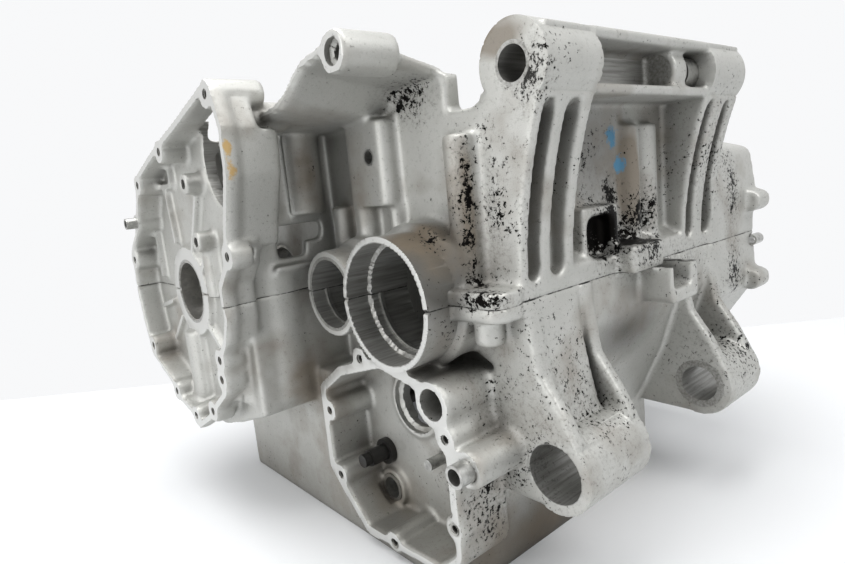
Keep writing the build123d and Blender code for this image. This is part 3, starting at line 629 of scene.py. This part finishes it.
# %% Bolts in place of the plain ones
# node, row, places, then in millimetres: across the flats, height of the
# hexagon, radius of the flange, radius of the shank, reach of the shank
slots = {row["node"]: row["material_slot"]
         for row in frame["record"]["subparts"]}
main_x = (-136, -72, 0, 72, 136)
bolts = [("main_bolts", "rear", [(x, -28, -58) for x in main_x],
          14, 8, 7.9, 4.2, 90),
         ("main_bolts", "front", [(x, 28, -58) for x in main_x],
          14, 8, 7.9, 4.2, 66),
         ("case_bolts_m8", "hex", [(-36, 84, -11), (36, 84, -11)],
          13, 7, 7.4, 3.7, 21),
         ("case_bolts_m6", "hex", [(-108, 84, -11), (108, 84, -11)],
          10, 6, 5.7, 2.7, 21)]
hex_bolts = {}
for name, row, places, wide, high, foot, thick, long in bolts:
    made = repeat(bolt, name + "_" + row, places, slots[name],
                  Across=wide / 1000, Height=high / 1000,
                  Flange=foot / 1000, Shank=thick / 1000,
                  Reach=long / 1000)
    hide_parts(name)
    hex_bolts[made] = slots[name]

# %% [markdown]
# ## Cast aluminium, machined faces, oil and flakes
#
# The castings are blasted, so their skin is pale, even and dull. Where a
# cover or a bearing sits the skin is cut away, and the bare metal is brighter
# and smoother. Each such place is a plane or a bore of the drawing, so it is
# found by its coordinates instead of being painted. Old oil has baked on as
# black flakes, thick round the rear lugs and thin on the left wall.

# %% Places on the castings
def near_point(x, y, z, centre, size):
    """1 at a centre and 0 at its size away, in each direction."""
    parts = [(c - m) / s for c, m, s in zip((x, y, z), centre, size)]
    reach = (parts[0] * parts[0] + parts[1] * parts[1]
             + parts[2] * parts[2]) ** 0.5
    return reach.sum_of("SUBTRACT", 1, reach, clamp=True)


def round_about(y, z, at_y, at_z):
    """Distance from an axis that runs along the crank."""
    dy = y - at_y
    dz = z - at_z
    return (dy * dy + dz * dz) ** 0.5


def plane_face(x, face_x):
    """1 on the plane at face_x."""
    return abs(x - face_x).under(0.35, 0.2)


def most_of(wires):
    """The highest of several values."""
    highest, *others = wires
    for wire in others:
        highest = highest.most(wire)
    return highest


def laid(x, y, z, spots):
    """How much of a stain lies at a point, from its list of spots."""
    return most_of(near_point(x, y, z, centre, size) * share
                   for centre, size, share in spots)


# %% Faces of the mounts and bores that shine
# faces: place along the crank, then y, z and radius of the face
mount_faces = [(near_mount_x, *upper_mount, 17.4),
               (near_mount_x, *lower_mount, 18.6),
               (far_upper_x, *upper_mount, 17.4),
               (far_lower_x, *lower_mount, 18.6), (insert_x, *insert_axis, 6.4),
               (web_x, *upper_mount, 9.5)]
# bores: y and z of the axis, radius, and the ends along the crank
bright_bores = [(*crank_axis, 21.3, -152, 152), (*output_axis, 30.9, -118, -70),
                (*input_axis, 21.2, -113, -70), (*upper_mount, 9.3, -90, 110),
                (*lower_mount, 14.6, -90, 110),
                (*starter_axis, 29.2, -148, -130)]
print(len(mount_faces) + len(bright_bores), "places of bare metal")

# %% Oil, film and marks
# old oil: centre and size on the drawing, and how thick it lies
oil_spots = [((8, -224, 16), (34, 26, 26), 1.5),
             ((-15, -216, 20), (20, 22, 30), 1.3),
             ((34, -222, 26), (30, 20, 24), 1.1),
             ((8, -216, 40), (14, 12, 20), 1.2),
             ((60, -232, -10), (46, 30, 26), 0.7),
             ((-20, -218, 60), (30, 16, 34), 0.6),
             ((-90, -206, 34), (9, 14, 70), 1.15),
             ((-99, -218, 4), (12, 22, 9), 1.2),
             ((-82, -232, 20), (16, 18, 70), 0.4),
             ((-82, -212, 40), (12, 14, 60), 0.55),
             ((90, -230, 60), (40, 34, 60), 0.5),
             ((128, -229, 30), (16, 20, 50), 0.8),
             ((131, -229, -20), (16, 20, 30), 0.9),
             ((-60, -236, -64), (60, 30, 60), 0.55),
             ((-84, -205, -50), (24, 44, 50), 0.4),
             ((80, -240, -60), (60, 40, 60), 0.45),
             ((-90, -190, -100), (30, 40, 50), 0.8),
             ((-82, -160, 100), (20, 30, 20), 0.9),
             ((-82, -236, 96), (12, 20, 22), 0.85),
             # this spot and the next lie on the collar's outside: oil, and
             # painted shade there as well
             ((-110, -188, 4), (24, 16, 30), 0.7),
             ((-96, -184, 24), (16, 14, 20), 0.8),
             ((-91, -208, 44), (7, 9, 54), 1.25),
             ((-8, -219, 22), (20, 16, 22), 1.7),
             ((26, -228, 12), (24, 10, 12), 1.5)]
brown_spots = [((-100, -88, 66), (16, 16, 36), 1.0),
               ((-108, -70, -62), (26, 50, 50), 0.8),
               ((-100, -90, -10), (30, 20, 30), 0.35),
               ((-88, -118, 50), (14, 30, 50), 0.4),
               ((-90, -120, -128), (24, 40, 26), 0.7),
               ((-90, -200, 50), (10, 20, 50), 0.35),
               # brown stain on the collar's outside, which paints its shade as
               # well
               ((-100, -180, 16), (30, 20, 30), 1.1),
               ((-6, -200, -130), (120, 60, 40), 0.8),
               ((22, -216, 52), (9, 16, 44), 1.7),
               ((-91, -208, 50), (7, 9, 50), 1.2),
               ((-82, -222, 112), (6, 26, 10), 0.9),
               ((40, -208, 70), (60, 14, 60), 0.7)]
# painted shade where the case is recessed or overhung, as in the rear bay,
# under the plate and round the collar, with oil at the collar as well
shade_and_grime_spots = [((-104, -187, 16), (38, 28, 42), 2.2),
               ((-6, -205, 62), (62, 26, 46), 1.15),
               ((6, -221, -34), (46, 16, 28), 1.0),
               ((10, -222, 104), (60, 14, 14), 0.9),
               ((-20, -196, -146), (80, 34, 50), 1.5),
               ((60, -216, 60), (30, 20, 50), 0.6),
               ((-94, -172, -44), (16, 30, 20), 0.6)]
# marker pen and hardened sealant
blue_marks = [((13, -214, 71), (9, 9, 9), 1.5),
              ((17, -214, 55), (6, 8, 9), 1.5)]
yellow_marks = [((-160, -115, 82), (5, 5, 8), 1.4),
                ((-159, -114, 71), (5, 5, 8), 1.4)]
print(len(oil_spots + brown_spots + shade_and_grime_spots), "stains and",
      len(blue_marks + yellow_marks), "marks")

# %% [markdown]
# The casting's colour is laid on in layers: cast skin, cut and turned metal,
# a darker tone towards the bottom, painted shade with some grime, brown film,
# haze, painted shade in the crevices with the grime there, marker pen and
# sealant, and last of all the black flakes. Metal that is cut or turned takes
# none of the painted shade and grime of the spots. A flake counts as metal
# with almost no colour, because only that is as black as burnt oil.

# %% The casting's colours
pale_skin, dull_skin = (0.63, 0.63, 0.605, 1), (0.41, 0.41, 0.385, 1)
skin_pits, cut_metal = (0.3, 0.3, 0.28, 1), (0.58, 0.58, 0.56, 1)
turned_metal, low_dark_tone = (0.13, 0.125, 0.11, 1), (0.2, 0.19, 0.165, 1)
shade_and_grime_color, brown_color = (0.055, 0.052, 0.045, 1), (0.15, 0.115, 0.075, 1)
haze_color, crevice_shade_and_grime_color = (0.1, 0.09, 0.075, 1), (0.07, 0.065, 0.055, 1)
pen_blue, sealant_amber = (0.04, 0.22, 0.38, 1), (0.5, 0.3, 0.06, 1)
flake_black = (0.006, 0.0055, 0.005, 1)


# %% The casting's material
def bare_metal(x, y, z, nx, nz):
    """How far a face was cut or turned, and how far it was turned."""
    cut = most_of(plane_face(x, face_x) for face_x in left_faces)
    for face_x, at_y, at_z, radius in mount_faces:
        ring = round_about(y, z, at_y, at_z).under(radius, 0.4)
        cut = cut.most(plane_face(x, face_x) * ring * 0.1)
    left = nx.under(-0.93, 0.05)
    turned = most_of(round_about(y, z, at_y, at_z).under(radius, 0.2)
                     * x.over(x0, 0.5) * x.under(x1, 0.5)
                     for at_y, at_z, radius, x0, x1 in bright_bores)
    bench_face = z.under(pan_face + 0.2, 0.2) * nz.under(-0.9, 0.1)
    return most_of([cut * left, turned, bench_face]), turned


def black_oil(y, z, oil, cut, specks, flakes, patches):
    """Flakes in patches, denser to the rear, where oil lies and in the seam."""
    rear = y.under(-176, 60)
    amount = oil * 0.22 + rear * 0.03 + (patches - 0.52) * 0.42
    specked = (specks + amount).over(0.715, 0.035)
    sheet = (flakes + oil * 0.34).over(0.79, 0.04)
    seam = abs(z).under(0.3, 0.2) * flakes.over(0.45, 0.2)
    return (specked.most(sheet) * (1 - cut * 0.7)).most(seam * 0.9)


def casting(name):
    paint = Paint(name)
    x, y, z = paint.axes()
    nx, _, nz = paint.facing()
    cut, turned = bare_metal(x, y, z, nx, nz)
    fine = paint.noise(0.55, 2, 0.6)
    cloud = paint.noise(38, 3, 0.55)
    specks = paint.noise(1.9, 4, 0.66)
    flakes = paint.noise(6.5, 5, 0.7)
    patches = paint.noise(26, 3, 0.6)
    oil = laid(x, y, z, oil_spots)
    brown = laid(x, y, z, brown_spots)
    black = black_oil(y, z, oil, cut, specks, flakes, patches)
    # painted shade in crevices and corners: ambient occlusion darkens the skin
    # where walls stand close, together with the grime that gathers there
    corner = paint.node("ShaderNodeAmbientOcclusion", {"samples": 6},
                        {"Distance": 0.016}, out=1)
    crevice_shade_and_grime = (1 - corner).over(0.55, 0.5)

    skin = paint.mix(cloud, dull_skin, pale_skin)
    skin = paint.mix(fine * 0.4, skin, skin_pits)
    skin = paint.mix(cut, skin, cut_metal)
    streaks = paint.noise(1.6, 3, 0.6, (0.05, 1, 1)).over(0.5, 0.3)
    skin = paint.mix(turned * (0.35 + streaks * 0.4), skin, turned_metal)
    # the skin is darker towards the bottom of the case, in patches
    low = z.under(-112, 60) * (patches * 0.6 + 0.3) * (1 - cut)
    skin = paint.mix(low, skin, low_dark_tone)
    # painted shade at the spots, and grime in random patches from the cloud
    # noise
    shade_and_grime = (laid(x, y, z, shade_and_grime_spots) + (cloud - 0.5) * 0.5).over(0.5, 1)
    skin = paint.mix(shade_and_grime * (1 - cut) * 0.9, skin, shade_and_grime_color)
    smear = (cloud + brown * 0.5).over(0.68, 0.3) * (1 - cut)
    skin = paint.mix(smear * 0.78, skin, brown_color)
    haze = (specks + oil * 0.3).over(0.66, 0.2) * (1 - cut)
    skin = paint.mix(haze * 0.4, skin, haze_color)
    # painted shade and grime in the crevices
    skin = paint.mix(crevice_shade_and_grime * 0.7, skin, crevice_shade_and_grime_color)
    rub = (flakes - 0.5) * 2.4
    marked = (laid(x, y, z, blue_marks) + rub).over(0.75, 0.35)
    skin = paint.mix(marked * 0.8, skin, pen_blue)
    sealed = (laid(x, y, z, yellow_marks) + rub).over(0.8, 0.35)
    skin = paint.mix(sealed * 0.75, skin, sealant_amber)
    skin = paint.mix(black, skin, flake_black)
    rough = 0.43 - cut * 0.11 + smear * 0.12 + fine * 0.1
    metal = black.most((1 - smear * 0.7) * (1 - shade_and_grime * 0.4) * 0.66)
    bump = paint.node("ShaderNodeBump", None, {
        "Strength": 0.45, "Distance": 0.0003,
        "Height": fine * (1 - cut) + black * 0.7 + cloud * 0.3})
    return paint.finish(Base_Color=skin, Roughness=rough, Metallic=metal,
                        Normal=bump)


cast_aluminium = casting("cast_aluminium")
print("casting material:", len(cast_aluminium.node_tree.nodes), "nodes")

# %% [markdown]
# ## The small steel pieces
#
# Pins, dowels and bolts are turned or drawn, so their marks run round them.
# A little noise in colour and roughness is enough at their size.


# %% Small metals
dirt_color = (0.03, 0.026, 0.02, 1)


def small_metal(name, color, rough, shade_and_grime, metallic):
    paint = Paint(name)
    paint.axes()
    fine = paint.noise(0.5, 2, 0.6)
    cloud = paint.noise(6, 3, 0.6)
    dirt = cloud.over(0.56, 0.2) * shade_and_grime
    worn = [part * 0.75 for part in color[:3]] + [1]
    base = paint.mix(fine * 0.5, color, worn)
    base = paint.mix(dirt, base, dirt_color)
    dull = cloud * 0.2 + (rough - 0.1) + dirt * 0.2
    bump = paint.node("ShaderNodeBump", None, {
        "Strength": 0.2, "Distance": 0.0001, "Height": fine})
    return paint.finish(Base_Color=base, Roughness=dull, Metallic=metallic,
                        Normal=bump)


bearing_metal = small_metal("bearing_metal", (0.5, 0.49, 0.46, 1), 0.34,
                            0.4, 0.9)
black_steel = small_metal("black_steel", (0.02, 0.019, 0.018, 1), 0.38,
                          0.3, 0.4)
plated_steel = small_metal("plated_steel", (0.42, 0.41, 0.36, 1), 0.4, 0.5,
                           0.9)
bare_steel = small_metal("bare_steel", (0.5, 0.5, 0.48, 1), 0.32, 0.45, 0.9)
finishes = {"cast_aluminium": cast_aluminium, "bearing_metal": bearing_metal,
            "black_steel": black_steel, "plated_steel": plated_steel,
            "bare_steel": bare_steel}
wanted = {piece: slots[name] for name, piece in nodes.items()}
wanted.update({made: "cast_aluminium" for made in (upper_casting,
              lower_casting, *threads)})
wanted.update(hex_bolts)
for piece, slot in wanted.items():
    piece.data.materials.clear()
    piece.data.materials.append(finishes[slot])
print(len(wanted), "pieces wear", len(finishes), "finishes")

# %% [markdown]
# ## The bench and the light
#
# The case stood on a pale table in front of a white sheet, under one large
# soft light. The table ends just behind the case, and its edge runs level
# with the horizon, so it slopes in the picture as the camera is rolled.


# %% The table
def direct_rays(nodes):
    """1 for what is seen, also in a shiny face, and 0 for what lights."""
    path = nodes.node("ShaderNodeLightPath").socket.node
    kinds = ("Is Camera Ray", "Is Glossy Ray", "Is Transmission Ray")
    return most_of(Wire(nodes, path.outputs[kind]) for kind in kinds)


def table_paint():
    """White board, a little brighter to the camera, with its shadows."""
    paint = Paint("table")
    lift = paint.mix(direct_rays(paint), (0, 0, 0, 1),
                     (0.07, 0.072, 0.076, 1))
    return paint.finish(Base_Color=(0.8, 0.81, 0.82, 1), Roughness=0.6,
                        Emission_Color=lift, Emission_Strength=1)


def table_top(edge=0.672, behind=1.2, half_width=1.6):
    """A board at bench height, from behind the camera to past the case."""
    side = Vector((level.x, level.y, 0))
    forward = Vector((math.cos(turn), math.sin(turn), 0))
    eye = bench(*eye_place)
    eye.z = 0
    corners = [eye + forward * edge * along + side * across
               for along, across in ((1, -half_width), (1, half_width),
                                     (-behind, half_width),
                                     (-behind, -half_width))]
    mesh = bpy.data.meshes.new("table")
    mesh.from_pydata([tuple(corner) for corner in corners], [],
                     [(3, 2, 1, 0)])
    mesh.materials.append(table_paint())
    table = bpy.data.objects.new("table", mesh)
    bpy.context.scene.collection.objects.link(table)
    return table


print(len(table_top().data.vertices), "corners of a table")


# %% Lamps and the white room
def lamp(name, place, target, size, power):
    data = bpy.data.lights.new(name, "AREA")
    data.shape = "DISK"
    data.size = size
    data.energy = power
    light = bpy.data.objects.new(name, data)
    light.location = place
    way = Vector(target) - Vector(place)
    light.rotation_euler = way.to_track_quat("-Z", "Y").to_euler()
    bpy.context.scene.collection.objects.link(light)


def white_room(seen=1, lit=0.39):
    """A backdrop that the camera sees whiter than it lights the case."""
    world = bpy.data.worlds.new("room")
    bpy.context.scene.world = world
    world.use_nodes = True
    room = Nodes(world.node_tree)
    color, strength = world.node_tree.nodes["Background"].inputs[:2]
    color.default_value = (0.94, 0.945, 0.955, 1)
    room.put(strength, direct_rays(room) * (seen - lit) + lit)


lamp("sky", (-0.25, 0.05, 1.3), (0, 0, 0.1), 1.1, 15.5)
lamp("window", (-1.3, 0.1, 0.5), (0, 0, 0.15), 1.0, 6.2)
lamp("rear", (0.1, -0.95, 1.15), (0, 0, 0.12), 0.8, 8)
white_room()
bpy.context.scene.view_settings.view_transform = "Standard"
print(len(bpy.data.lights), "lamps, and a room of white walls")

# %% [markdown]

# %% The end of the scene
print("scene built")
